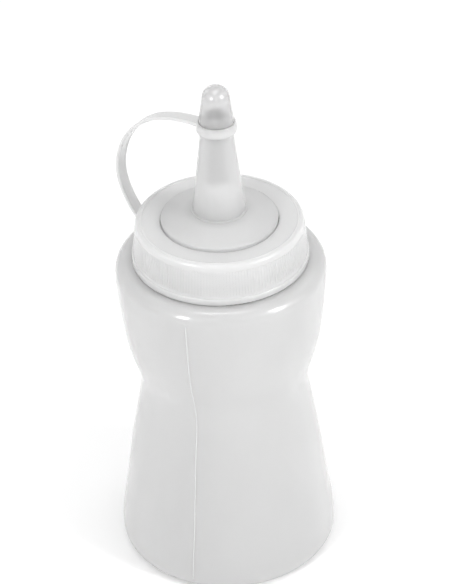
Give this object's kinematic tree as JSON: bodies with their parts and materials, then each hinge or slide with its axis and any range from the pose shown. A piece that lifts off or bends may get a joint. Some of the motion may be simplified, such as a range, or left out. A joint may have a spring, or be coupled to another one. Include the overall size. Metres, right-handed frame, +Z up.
{
  "type": "squeeze bottle",
  "caption": "Hourglass squeeze bottle for sauces with a wide threaded neck, a knurled screw collar, a cone spout and a tethered tip cap.",
  "frame": {"origin": "centre of the base, on the surface that the bottle stands on", "axes": "+Z up along the bottle's axis, towards the tip; the tether's loop is over the -X +Y side"},
  "size_m": [0.0848, 0.0846, 0.2026],
  "materials": {
    "bottle_plastic": "milky translucent polyethylene, satin",
    "spout_plastic": "milky translucent polyethylene, smooth",
    "collar_plastic": "milky translucent polyethylene, smooth, fine upright ribs",
    "tip_cap_plastic": "milky translucent polyethylene, smooth",
    "tether_plastic": "milky translucent polyethylene, smooth"
  },
  "bodies": {
    "bottle": {"bottle": "bottle_plastic"},
    "spout": {"spout": "spout_plastic"},
    "collar": {"screw_collar": "collar_plastic", "tether_strap": "tether_plastic"},
    "tip_cap": {"tip_cap": "tip_cap_plastic", "tether_ring": "tether_plastic"}
  },
  "joints": [
    {"name": "cap_lift", "type": "slide", "parent": "bottle", "child": "spout", "axis": [0, 0, 1], "range_m": [0, 0.0064]},
    {"name": "collar_turn", "type": "hinge", "parent": "spout", "child": "collar", "pos_m": [0, 0, 0.138], "axis": [0, 0, 1], "range_deg": [0, 540]},
    {"name": "tip_cap_pull", "type": "slide", "parent": "collar", "child": "tip_cap", "axis": [0, 0, 1], "range_m": [0, 0.012], "deforming": ["tether_strap"]}
  ],
  "couplings": [
    {"joint": "cap_lift", "follows": "collar_turn", "m_per_rad": 0.00066845}
  ]
}
